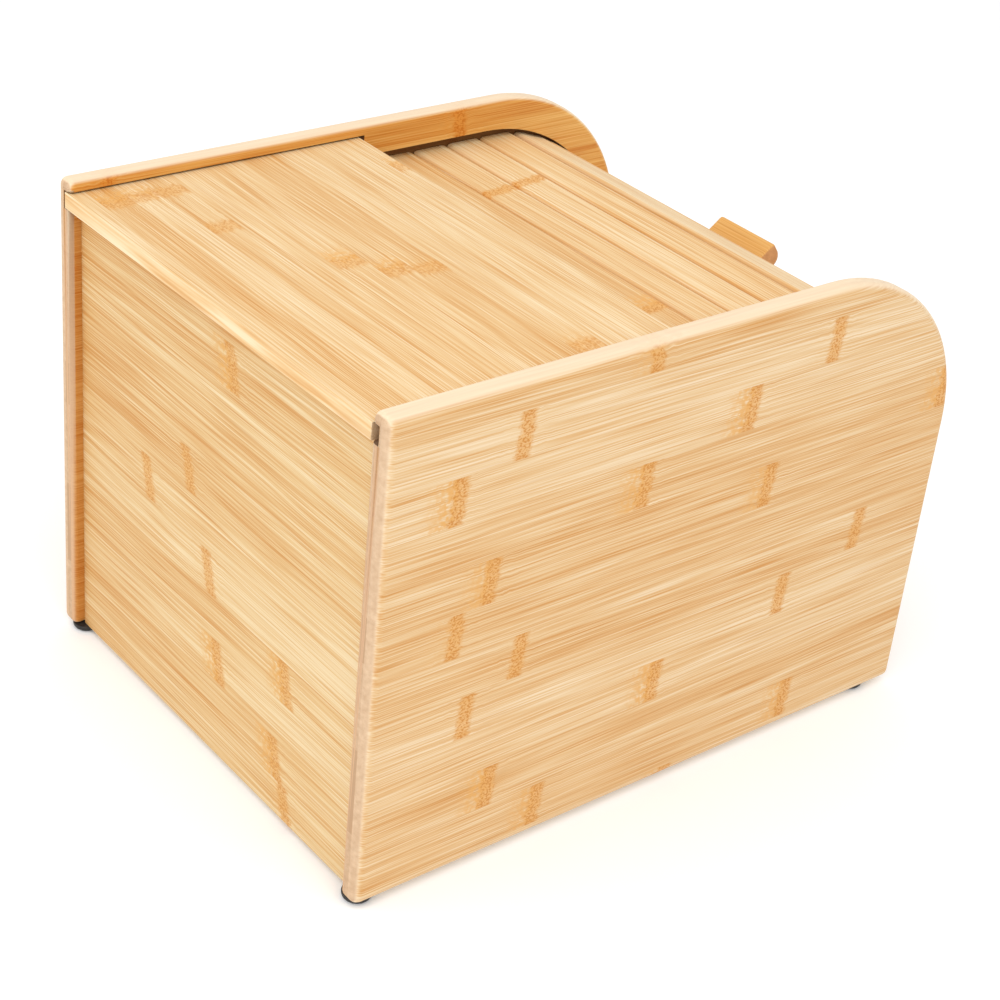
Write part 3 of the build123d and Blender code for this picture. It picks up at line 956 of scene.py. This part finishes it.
@dataclass
class SidePanels:
    """The two side panels, laminated from an outer and an inner ply."""

    corner_radius: float = 77 * MM
    ease: float = 0.3 * MM
    strip: float = 19.2
    seam: float = -11.3
    nodes: Strips = (
        (-8.0,), (-75.0, 61.0), (86.0,), (5.0,), (-61.0, 101.0), (-101.0, 78.0), (109.0,),
        (-42.0, 95.0), (-139.0, 25.0), (-26.0, 113.0), (-67.0, 86.0), (27.0,),
    )
    far_nodes: Strips = (
        (40.0,), (-30.0, 118.0), (72.0,), (-88.0,), (14.0,), (-52.0, 90.0), (36.0,), (-110.0, 61.0),
        (-12.0,), (104.0,), (-46.0, 66.0), (-46.0, 127.0),
    )

    def __post_init__(self) -> None:
        """Read the panels' outline from the frame."""
        self.low, self.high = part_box("side_panel_left")

    def depth(self, point: Vector) -> float:
        """Say how far a point lies inside the panel's outline, in metres."""
        low, high = self.low, self.high
        middle_y = low.y + self.corner_radius
        middle_z = high.z - self.corner_radius
        if point.y < middle_y and point.z > middle_z:
            return self.corner_radius - hypot(point.y - middle_y, point.z - middle_z)
        return min(point.y - low.y, high.y - point.y, point.z - low.z, high.z - point.z)

    def make(self) -> None:
        """Build both panels and dress them."""
        for side, nodes in (("left", self.nodes), ("right", self.far_nodes)):
            node = "side_panel_" + side
            low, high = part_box(node)
            inner, outer = sorted((abs(low.x), abs(high.x)))
            panel = eased_copy(node, side + "_panel_boards", self.ease, self._at_grooves(inner))
            mark_faces(panel, "cut", self._is_cut(inner, outer))
            shade(panel)
            finish = self._finish(side, nodes)
            dress(panel, finish, "carcass")

    def _at_grooves(self, inner: float) -> Callable[[bmesh.types.BMEdge], bool]:
        """Give the test for the edges of the grooves on the panel's inner face."""

        def on_face(edge: bmesh.types.BMEdge) -> bool:
            """Say whether both ends lie on the inner face, away from its own edges."""
            for corner in edge.verts:
                if abs(abs(corner.co.x) - inner) > 0.02 * MM or self.depth(corner.co) < 0.5 * MM:
                    return False
            return True

        return on_face

    def _is_cut(self, inner: float, outer: float) -> Callable[[Vector], float]:
        """Give the test for faces inside the grooves and holes."""

        def is_cut(middle: Vector) -> float:
            """Say whether a face lies between the two faces of the panel, well inside."""
            between = inner + 0.05 * MM < abs(middle.x) < outer - 1.0 * MM
            return 1.0 if between and self.depth(middle) > 4.2 * MM else 0.0

        return is_cut

    def _finish(self, side: str, nodes: Strips) -> bpy.types.Material:
        """Make one panel's finish."""
        low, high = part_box("side_panel_" + side)
        split = abs(low.x + high.x) / 2 / MM
        finish = Bamboo(
            name=side + "_panel_bamboo",
            grain=Axis.Y,
            across=Axis.Z,
            through=Axis.X,
            strip=self.strip,
            seam=self.seam,
            nodes=nodes,
            lean=1.5,
            tones=BambooTones().lit(0.95, 1.05),
            strip_contrast=0.28,
            # Paler rounded rims, partly painted highlight.
            rim_cover=0.75,
            split=split,
            # Where the painted shade of the recess behind the back panel lies.
            recess_from=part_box("back_panel")[1].y / MM,
            recess_top=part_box("back_panel")[1].z / MM,
            seed=4.0 if side == "left" else 19.0,
        )
        return finish.build()


@dataclass
class Boards:
    """The top board, the back panel and the bottom board, all with their grain along X."""

    ease: float = 0.4 * MM
    top_nodes: Strips = (
        (70.0,), (), (), (-93.0,), (-15.0,), (-11.0,), (3.0,), (), (51.0, 89.0), (89.0,), (88.0,),
        (),
    )
    back_nodes: Strips = (
        (-56.0,), (-48.0,), (-6.0,), (-53.0,), (3.0,), (49.0,), (19.0,), (), (), (-10.0,), (),
    )
    bottom_nodes: Strips = (
        (-30.0,), (52.0,), (), (-76.0,), (12.0,), (84.0,), (-18.0,),
    )

    def make(self) -> None:
        """Build the three boards and dress them."""
        top = Bamboo(
            "top_board_bamboo", Axis.X, Axis.Y, Axis.Z, 12.5, 0.8, self.top_nodes,
            tones=BambooTones(), seed=31.0, node_half=5.0, node_cover=0.6, streak_contrast=1.15,
        )
        back = Bamboo(
            "back_panel_bamboo", Axis.X, Axis.Z, Axis.Y, 19.0, 0.5, self.back_nodes,
            tones=BambooTones().lit(0.89, 0.95), seed=47.0, lean=-5.0, node_half=3.6, node_cover=0.75,
            # Painted shade: the back panel deepens in colour towards +X, where it meets the right-hand
            # panel.
            streak_contrast=1.15, painted_shade_slope=0.0012,
        )
        bottom = Bamboo(
            "bottom_board_bamboo", Axis.X, Axis.Y, Axis.Z, 40.0, -143.0, self.bottom_nodes, seed=63.0
        )
        for node, finish in (("top_board", top), ("back_panel", back), ("bottom_board", bottom)):
            board = eased_copy(node, node + "_boards", self.ease, self._on_box(node))
            shade(board)
            dress(board, finish.build(), "carcass")

    def _on_box(self, node: str) -> Callable[[bmesh.types.BMEdge], bool]:
        """Give the test for edges along the outside of a board."""
        low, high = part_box(node)

        def outside(edge: bmesh.types.BMEdge) -> bool:
            """Say whether both ends lie where two sides of the board's box meet."""
            for corner in edge.verts:
                sides = [min(corner.co[i] - low[i], high[i] - corner.co[i]) for i in range(3)]
                if sorted(sides)[1] > 0.05 * MM:
                    return False
            return True

        return outside


@dataclass
class Feet:
    """Four small rubber feet with a domed rim and a hollow underneath."""

    hollow_radius: float = 2.6 * MM
    hollow_depth: float = 0.5 * MM
    rounding: float = 2.2 * MM
    corners: tuple[str, ...] = ("front_left", "front_right", "rear_left", "rear_right")

    def make(self) -> None:
        """Build the four feet and dress them."""
        rubber = Rubber("foot_rubber").build()
        for corner in self.corners:
            low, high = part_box("foot_" + corner)
            foot = turned("rubber_foot_" + corner, self._levels(low, high))
            foot.data.transform(Matrix.Translation(((low.x + high.x) / 2, (low.y + high.y) / 2, 0.0)))
            shade(foot)
            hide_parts("foot_" + corner)
            dress(foot, rubber, "carcass")

    def _levels(self, low: Vector, high: Vector) -> list[tuple[float, float]]:
        """Give the foot's outline from its top face round to the hollow underneath."""
        radius = (high.x - low.x) / 2
        levels = [(high.z, radius - 0.2 * MM), (high.z - 0.2 * MM, radius)]
        for i in range(9):
            turn = radians(90 * i / 8)
            out = radius - self.rounding + self.rounding * cos(turn)
            levels.append((low.z + self.rounding * (1 - sin(turn)), out))
        levels.append((low.z, self.hollow_radius))
        levels.append((low.z + self.hollow_depth, self.hollow_radius - 0.4 * MM))
        return levels


@dataclass
class Dowels:
    """The fluted wooden dowels that join the box, hidden in their holes."""

    in_row: int = 3
    flutes: int = 14
    flute_depth: float = 0.05
    chamfer: float = 0.8 * MM
    rows: tuple[str, ...] = (
        "bottom_dowels_left",
        "bottom_dowels_right",
        "back_dowels_left",
        "back_dowels_right",
        "back_joint_dowels",
    )

    def make(self, row: bpy.types.NodeTree) -> None:
        """Build the five rows of dowels and dress them."""
        wood = PlainWood("dowel_wood").build()
        for node in self.rows:
            low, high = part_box(node)
            size = high - low
            lying = Axis.X if node.endswith(("left", "right")) else Axis.Y
            spread = max((a for a in Axis if a is not lying), key=lambda a: size[a.value])
            radius = min(size) / 2
            shape = self._dowel(radius, size[lying.value])
            start = (low + high) / 2
            start[spread.value] = low[spread.value] + radius
            step = Vector()
            step[spread.value] = (size[spread.value] - 2 * radius) / (self.in_row - 1)
            turn = (0.0, pi / 2, 0.0) if lying is Axis.X else (pi / 2, 0.0, 0.0)
            settings = {
                "Shape": shape,
                "Count": self.in_row,
                "Start": start,
                "Step": step,
                "Turn": turn,
                "Finish": wood,
            }
            piece = grown(row, "fluted_" + node, settings)
            discard(shape)
            shade(piece)
            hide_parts(node)
            dress(piece, wood, "carcass")

    def _dowel(self, radius: float, length: float) -> bpy.types.Object:
        """Make one dowel along Z, with its middle at the origin."""
        end = length / 2
        narrow = radius - self.chamfer / 2
        levels = [(-end, narrow), (self.chamfer - end, radius), (end - self.chamfer, radius), (end, narrow)]

        def fluted(turn: float) -> float:
            """Give the radius factor at an angle."""
            return 1.0 - self.flute_depth * (0.5 - 0.5 * cos(turn * self.flutes)) ** 2

        return turned("dowel_shape", levels, self.flutes * 6, fluted)


# ---------------------------------------------------------------- the lid


class Run(Enum):
    """One stretch of the lid, by the body it moves with."""

    FRONT = "front_section"
    BEND = "bend_section"
    TOP = "top_section"


@dataclass
class Lid:
    """The roll-top lid: its lead rail and three runs of slats on a canvas backing."""

    rounding: float = 2.2 * MM
    easing: float = 0.35 * MM
    wobble: float = 0.08 * MM
    end_ease: float = 0.4 * MM
    slats: dict[str, bpy.types.Object] = field(default_factory=dict)
    nodes: Strips = (
        (38.0,), (-60.0,), (), (35.0,), (-20.0, 88.0), (), (70.0,), (-44.0,), (), (-75.0,), (), (),
        (58.0,), (55.0,), (-62.0,), (20.0,), (-5.0,),
    )

    def __post_init__(self) -> None:
        """Read the lid's sizes from the frame."""
        low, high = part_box("slat_11")
        after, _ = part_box("slat_12")
        _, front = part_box("slat_01")
        self.pitch = after.y - low.y
        self.width = high.y - low.y
        self.thickness = high.z - low.z
        self.length = high.x - low.x
        self.bend_y = (low.y + high.y) / 2
        self.radius = self.bend_y - front.y
        self.bend_z = low.z - self.radius
        bodies = frame["record"]["behaviour"]["bodies"]
        self.members = {
            run: sorted(node for node in bodies[run.value] if node.startswith("slat_")) for run in Run
        }
        self.turn = pi / 2 / len(self.members[Run.BEND])

    def plane(self, angle: float) -> Matrix:
        """Give the frame on the slats' inner side, at an angle down the bend, Z outwards."""
        return Matrix.Translation(self.on_bend(angle, self.radius)) @ Matrix.Rotation(angle, 4, "X")

    def on_bend(self, angle: float, reach: float) -> Vector:
        """Give the point at an angle down the bend and a distance from its centre line."""
        return Vector((0.0, self.bend_y - reach * sin(angle), self.bend_z + reach * cos(angle)))

    def make(self, tree: bpy.types.NodeTree) -> None:
        """Grow the three runs and the lead rail, and dress them."""
        wood = Bamboo(
            "slat_bamboo", Axis.X, Axis.Y, Axis.Z, self.pitch / MM, -self.pitch / MM / 2, self.nodes,
            tones=BambooTones().lit(1.03), seed=77.0, lean=2.0, node_half=3.2, strip_contrast=0.3,
            seam_cover=0.7, seam_reach=2.4,
            board_attribute=True,
        ).build()
        front = len(self.members[Run.FRONT])
        bend = len(self.members[Run.BEND])
        axis = Vector((0.0, self.bend_y, self.bend_z))
        up = Vector((0.0, 0.0, self.pitch))
        rearwards = Vector((0.0, self.pitch, 0.0))
        low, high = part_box("lead_rail")
        rail_centre = Vector((0.0, self.bend_y, (low.z + high.z) / 2))
        runs = (
            ("front_slats", Run.FRONT, 1, axis - up * front, pi / 2, 0.0, up),
            ("bend_slats", Run.BEND, front + 1, axis, pi / 2, -self.turn, Vector()),
            ("top_slats", Run.TOP, front + bend + 1, axis, 0.0, 0.0, rearwards),
        )
        for name, run, first, centre, angle, turn, advance in runs:
            settings = self._settings(wood, first, centre)
            slats = self.members[run]
            settings.update({"Count": len(slats), "Angle": angle, "Turn": turn, "Advance": advance})
            self._keep(grown(tree, name, settings), run, wood, slats)
        settings = self._settings(wood, 0, rail_centre)
        settings.update({"Width": high.z - low.z, "Wobble": 0.0})
        self._keep(grown(tree, "lead_rail_bar", settings), Run.FRONT, wood, ["lead_rail"])

    def _settings(self, wood: bpy.types.Material, first: int, centre: Vector) -> dict[str, object]:
        """Give the slat tree's inputs for one upright slat on the front run."""
        return {
            "Count": 1,
            "First": first,
            "Pitch": self.pitch,
            "Width": self.width,
            "Thickness": self.thickness,
            "Length": self.length,
            "Rounding": self.rounding,
            "Easing": self.easing,
            "Centre": centre,
            "Radius": self.radius,
            "Angle": pi / 2,
            "Turn": 0.0,
            "Advance": Vector(),
            "Wobble": self.wobble,
            "Seed": 5.0,
            "Finish": wood,
        }

    def _keep(
        self, piece: bpy.types.Object, run: Run, wood: bpy.types.Material, nodes: Sequence[str]
    ) -> None:
        """Ease the slats' ends, and dress the piece in place of its nodes."""
        self._ease_ends(piece)
        shade(piece)
        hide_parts(*nodes)
        dress(piece, wood, run.value)
        self.slats[piece.name] = piece

    def _ease_ends(self, piece: bpy.types.Object) -> None:
        """Take the sharp corner off the slats' end faces."""
        work = bmesh.new()
        work.from_mesh(piece.data)
        reach = self.length / 2 - 0.01 * MM
        ends = [e for e in work.edges if all(abs(corner.co.x) > reach for corner in e.verts)]
        bmesh.ops.bevel(
            work, geom=ends, offset=self.end_ease, segments=2, profile=0.5, affect="EDGES",
            clamp_overlap=True,
        )
        work.to_mesh(piece.data)
        work.free()


@dataclass
class Backing:
    """The canvas glued to the slats' inner side, one strip for each run."""

    thickness: float = 0.4 * MM
    cell: float = 2.5 * MM
    end_gap: float = 0.3 * MM
    ravel: float = 0.35 * MM
    swell: float = 0.02 * MM

    def make(self, lid: Lid) -> None:
        cloth = Canvas("canvas").build()
        front_low, front_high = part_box("canvas_front")
        top_low, top_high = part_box("canvas_top")
        inner = lid.bend_y - lid.radius
        under = lid.bend_z + lid.radius
        front = [Vector((0.0, inner, front_low.z)), Vector((0.0, inner, front_high.z))]
        top = [Vector((0.0, top_low.y, under)), Vector((0.0, top_high.y, under))]
        strips = (
            ("canvas_front_cloth", Run.FRONT, front, "front_slats"),
            ("canvas_bend_cloth", Run.BEND, self._bend_path(lid), "bend_slats"),
            ("canvas_top_cloth", Run.TOP, top, "top_slats"),
        )
        half = front_high.x
        for name, run, path, slats in strips:
            strip, length = self._strip(name, path, half)
            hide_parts(name.removesuffix("_cloth"))
            dress(strip, cloth, run.value)
            log.info("%s: %.0f mm long", name, length / MM)

    def _bend_path(self, lid: Lid) -> list[Vector]:
        """Give the corners of the slats' inner sides round the bend, from the front upwards."""
        count = len(lid.members[Run.BEND])
        reach = lid.radius / cos(lid.turn / 2)
        path = []
        for i in range(count + 1):
            angle = pi / 2 + lid.turn / 2 - lid.turn * i
            path.append(lid.on_bend(angle, reach))
        path[0] += (path[1] - path[0]).normalized() * self.end_gap
        path[-1] += (path[-2] - path[-1]).normalized() * self.end_gap
        return path

    def _strip(self, name: str, path: list[Vector], half: float) -> tuple[bpy.types.Object, float]:
        """Make one strip of cloth just inside a path.

        Args:
            name: the strip's name.
            path: the line of the slats' inner side, from the lid's front end rearwards.
            half: half the strip's width.

        Returns:
            The strip, and its length along the path.
        """
        rows = self._rows(path)
        columns = int(2 * half / self.cell)
        work = bmesh.new()
        layer = work.loops.layers.uv.new("cloth")
        grid = []
        for place, inwards, far in rows:
            ragged = self.ravel * (0.5 + 0.3 * sin(far * 900.0) + 0.2 * sin(far * 2300.0))
            reach = half - ragged
            line = []
            for i in range(columns + 1):
                x = reach * (2 * i / columns - 1)
                depth = self.thickness + self.swell * sin(x * 700.0 + far * 400.0)
                line.append(work.verts.new(place + inwards * depth + Vector((x, 0.0, 0.0))))
            grid.append(line)
        for r in range(len(rows) - 1):
            for i in range(columns):
                corners = ((i, r), (i + 1, r), (i + 1, r + 1), (i, r + 1))
                face = work.faces.new([grid[row][column] for column, row in corners])
                for loop, (column, row) in zip(face.loops, corners):
                    loop[layer].uv = (2 * half * column / columns, rows[row][2])
        mesh = bpy.data.meshes.new(name)
        work.to_mesh(mesh)
        work.free()
        strip = new_piece(name, mesh)
        self._thicken(strip, rows[0][1])
        return strip, rows[-1][2]

    def _rows(self, path: list[Vector]) -> list[tuple[Vector, Vector, float]]:
        """Divide a path into short steps: place, direction inwards, and distance from its start."""
        rows = []
        far = 0.0
        for start, end in zip(path, path[1:]):
            along = (end - start).normalized()
            inwards = along.cross(Vector((-1.0, 0.0, 0.0)))
            length = (end - start).length
            steps = max(1, round(length / self.cell))
            first = 0 if not rows else 1
            for i in range(first, steps + 1):
                rows.append((start.lerp(end, i / steps), inwards, far + length * i / steps))
            far += length
        return rows

    def _thicken(self, strip: bpy.types.Object, inwards: Vector) -> None:
        """Give a strip its thickness towards the slats, and smooth it."""
        faces_in = strip.data.polygons[0].normal.dot(inwards) > 0
        solid = strip.modifiers.new("cloth", "SOLIDIFY")
        solid.thickness = self.thickness
        solid.offset = -1.0 if faces_in else 1.0
        freeze(strip)
        work = bmesh.new()
        work.from_mesh(strip.data)
        bmesh.ops.recalc_face_normals(work, faces=work.faces)
        work.to_mesh(strip.data)
        work.free()
        shade(strip, radians(60))


@dataclass
class Knob:
    """The knob on the lid's bend, and the two screws that hold it from inside."""

    step: int = 3
    ease: float = 1.3 * MM
    screw_spacing: float = 18 * MM
    screw_radius: float = 1.75 * MM
    root_radius: float = 1.35 * MM
    thread_pitch: float = 1.1 * MM
    screw_length: float = 15 * MM
    head_radius: float = 3.25 * MM
    head_height: float = 1.6 * MM
    clearance: float = 0.1 * MM

    def make(self, lid: Lid, row: bpy.types.NodeTree) -> None:
        """Build the knob and its screws, and drill the slat that they pass through."""
        angle = lid.turn * self.step
        self._make_block()
        plane = lid.plane(angle)
        steel = Steel("screw_steel").build()
        screw = self._screw()
        screws = self._pair(row, "countersunk_screws", screw, plane, angle, steel)
        shade(screws)
        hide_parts("knob_screws")
        dress(screws, steel, Run.BEND.value)
        self._drill(lid, row, plane, angle, steel)

    def _make_block(self) -> None:
        """Build the wooden block and dress it."""
        low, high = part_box("knob")

        def at_end(edge: bmesh.types.BMEdge) -> bool:
            """Say whether an edge goes round an end face."""
            return all(min(c.co.x - low.x, high.x - c.co.x) < 0.05 * MM for c in edge.verts)

        block = eased_copy("knob", "knob_block", self.ease, at_end)
        shade(block)
        tones = BambooTones(
            pale=tone(234, 190, 120),
            light=tone(226, 174, 102),
            base=tone(218, 161, 87),
            deep=tone(198, 136, 66),
            end_pale=tone(222, 168, 120),
            end_dark=tone(172, 114, 74),
        )
        wood = Bamboo(
            "knob_bamboo", Axis.X, Axis.Y, Axis.Z, 400.0, -200.0, ((),), tones=tones, seed=9.0,
            strip_contrast=0.0, streak_contrast=0.8,
        )
        dress(block, wood.build(), Run.BEND.value)

    def _pair(
        self,
        row: bpy.types.NodeTree,
        name: str,
        shape: bpy.types.Object,
        plane: Matrix,
        angle: float,
        finish: bpy.types.Material,
    ) -> bpy.types.Object:
        """Set two copies of a shape in the screws' places, and remove the shape."""
        start = plane @ Vector((-self.screw_spacing / 2, 0.0, 0.0))
        settings = {
            "Shape": shape,
            "Count": 2,
            "Start": start,
            "Step": Vector((self.screw_spacing, 0.0, 0.0)),
            "Turn": (angle, 0.0, 0.0),
            "Finish": finish,
        }
        pair = grown(row, name, settings)
        discard(shape)
        return pair

    def _screw(self) -> bpy.types.Object:
        """Make one countersunk screw, with its head at Z 0 and a cross recess in it."""
        sunk = 0.05 * MM
        levels = [(sunk, self.head_radius - 0.15 * MM), (sunk + 0.15 * MM, self.head_radius - 0.1 * MM)]
        levels.append((self.head_height, self.screw_radius))
        height = self.head_height + 0.4 * MM
        while height < self.screw_length - 2.2 * MM:
            levels.append((height, self.root_radius))
            levels.append((height + 0.45 * self.thread_pitch, self.screw_radius))
            levels.append((height + 0.55 * self.thread_pitch, self.screw_radius))
            height += self.thread_pitch
        levels.append((height, self.root_radius))
        levels.append((self.screw_length - 0.1 * MM, 0.25 * MM))
        screw = turned("screw_shape", levels, 36)

        def cross(turn: float) -> float:
            """Give the recess's reach at an angle: four narrow lobes."""
            return 0.3 + 0.7 * abs(cos(2 * turn)) ** 6

        recess = turned("recess_shape", [(-0.5 * MM, 1.7 * MM), (1.2 * MM, 1.0 * MM)], 64, cross)
        cut_away(screw, recess)
        return screw

    def _drill(
        self,
        lid: Lid,
        row: bpy.types.NodeTree,
        plane: Matrix,
        angle: float,
        steel: bpy.types.Material,
    ) -> None:
        """Drill and countersink the slat under the knob."""
        wide = self.head_radius + self.clearance
        narrow = self.screw_radius + self.clearance
        over = 1.0 * MM
        levels = [(-over, wide), (0.0, wide), (self.head_height, narrow), (lid.thickness + over, narrow)]
        drill = self._pair(row, "drills", turned("drill_shape", levels, 40), plane, angle, steel)
        slats = lid.slats["bend_slats"]
        cut_away(slats, drill)
        self._place_grain(lid, slats.data, plane)
        shade(slats)
        paint(slats, lid.slats["top_slats"].data.materials[0])

    def _place_grain(self, lid: Lid, mesh: bpy.types.Mesh, plane: Matrix) -> None:
        """Give the drilled slat's corners their places on the slat again."""
        number = len(lid.members[Run.FRONT]) + len(lid.members[Run.BEND]) + 1 - self.step
        offset = Vector((0.0, number * lid.pitch, 0.0))
        into = plane.inverted()
        layer = mesh.attributes["board"]
        for corner in mesh.vertices:
            local = into @ corner.co
            beside = abs(local.y) > lid.width / 2 + 0.1 * MM
            if not beside and -0.3 * MM < local.z < lid.thickness + 0.1 * MM:
                layer.data[corner.index].vector = local + offset


# ---------------------------------------------------------------- the studio


@dataclass
class Studio:
    """A pale floor, soft light all round and one camera from the rear left."""

    azimuth: float = 229.035
    elevation: float = 30.851
    roll: float = 6.024
    distance: float = 0.92656
    target: tuple[float, float, float] = (-0.00397, 0.00054, 0.0807)
    lens: float = 78.727
    floor_size: float = 8.0
    sky: float = 0.82
    key_power: float = 14.0

    def make(self) -> None:
        """Set up the floor, the lights and the camera."""
        self._floor()
        self._sky()
        self._softbox("key", (-0.9, 0.5, 1.7), self.key_power, 1.6)
        self._softbox("fill", (0.6, 1.5, 1.0), self.key_power * 0.5, 1.4)
        self._camera()
        view = bpy.context.scene.view_settings
        view.view_transform = "Standard"
        view.look = "None"

    def _floor(self) -> None:
        """Lay the floor under the feet."""
        work = bmesh.new()
        bmesh.ops.create_grid(work, x_segments=8, y_segments=8, size=self.floor_size / 2)
        floor = piece_from(work, "studio_floor")
        if floor.data.polygons[0].normal.z < 0:
            floor.data.flip_normals()
        floor.data.materials.append(FloorPaint("floor_paint").build())

    def _sky(self) -> None:
        """Light the scene evenly from all round."""
        world = bpy.data.worlds.new("soft_sky")
        world.use_nodes = True
        background = world.node_tree.nodes["Background"]
        background.inputs["Color"].default_value = (1.0, 1.0, 1.0, 1.0)
        background.inputs["Strength"].default_value = self.sky
        bpy.context.scene.world = world

    def _softbox(self, name: str, place: tuple[float, float, float], power: float, size: float) -> None:
        """Hang a soft square light that points at the box."""
        light = bpy.data.lights.new(name, "AREA")
        light.energy = power
        light.size = size
        lamp = bpy.data.objects.new(name, light)
        lamp.location = place
        aim = Vector(place) - Vector((0.0, 0.0, 0.1))
        lamp.rotation_mode = "QUATERNION"
        lamp.rotation_quaternion = aim.to_track_quat("Z", "Y")
        bpy.context.scene.collection.objects.link(lamp)

    def _camera(self) -> None:
        """Set the camera up behind the box, to its left and above."""
        turn = radians(self.azimuth)
        rise = radians(self.elevation)
        back = Vector((sin(turn) * cos(rise), -cos(turn) * cos(rise), sin(rise)))
        lens = bpy.data.cameras.new("camera")
        lens.lens = self.lens
        lens.sensor_width = 36.0
        camera = bpy.data.objects.new("camera", lens)
        camera.location = Vector(self.target) + back * self.distance
        camera.rotation_mode = "QUATERNION"
        level = back.to_track_quat("Z", "Y")
        camera.rotation_quaternion = level @ Quaternion((0.0, 0.0, 1.0), radians(self.roll))
        bpy.context.scene.collection.objects.link(camera)
        bpy.context.scene.camera = camera


# ---------------------------------------------------------------- main


def main() -> None:
    """Build the bread box piece by piece."""
    style = "%(relativeCreated)d %(name)s %(message)s"
    logging.basicConfig(level=logging.INFO, format=style, stream=sys.stdout)
    row = row_tree()
    Studio().make()
    SidePanels().make()
    Boards().make()
    Feet().make()
    Dowels().make(row)
    lid = Lid()
    lid.make(slat_run_tree())
    Knob().make(lid, row)
    Backing().make(lid)


if __name__ == "__main__":
    main()
